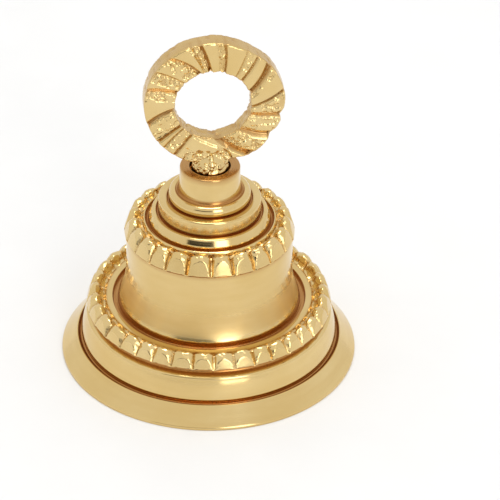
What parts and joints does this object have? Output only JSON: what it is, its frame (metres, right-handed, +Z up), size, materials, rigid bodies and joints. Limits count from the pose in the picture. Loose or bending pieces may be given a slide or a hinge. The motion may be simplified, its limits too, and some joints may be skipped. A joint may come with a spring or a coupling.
{
  "type": "temple bell",
  "caption": "Small brass temple bell with stepped crown, beaded bands and flared lip, a swivelling rope-pattern hanging ring, and a clapper linked to an eye bolt inside.",
  "frame": {"origin": "centre of the mouth, in the plane of the lip that the bell stands on", "axes": "+Z up along the bell's turning axis, from the mouth to the hanging ring; the ring stands in the XZ plane, so its hole runs along Y"},
  "size_m": [0.1, 0.1, 0.1206],
  "materials": {
    "bell_brass": "polished, lathe turned outside, satin as cast inside",
    "ring_brass": "cast and buffed, bright on the ridges and brown in the flutes",
    "clapper_brass": "turned, lightly worn where it strikes",
    "washer_brass": "satin",
    "hardware_steel": "zinc plated"
  },
  "bodies": {
    "bell": {"bell_shell": "bell_brass"},
    "hanger": {"hanging_ring": "ring_brass", "socket_washer": "washer_brass", "crown_washer": "washer_brass", "crown_nut": "hardware_steel", "lock_nut": "hardware_steel", "eye_bolt": "hardware_steel"},
    "link": {"hanger_link": "hardware_steel"},
    "clapper": {"clapper_stem": "hardware_steel", "clapper_ball": "clapper_brass", "clapper_end_nut": "hardware_steel"}
  },
  "joints": [
    {"name": "ring_swivel", "type": "hinge", "parent": "bell", "child": "hanger", "pos_m": [0, 0, 0.0724], "axis": [0, 0, 1], "continuous": true},
    {"name": "link_swing", "type": "hinge", "parent": "hanger", "child": "link", "pos_m": [0, 0, 0.04615], "axis": [1, 0, 0], "range_deg": [-10, 10]},
    {"name": "clapper_swing", "type": "hinge", "parent": "link", "child": "clapper", "pos_m": [0, 0, 0.0395], "axis": [0, 1, 0], "range_deg": [-42, 42]}
  ]
}
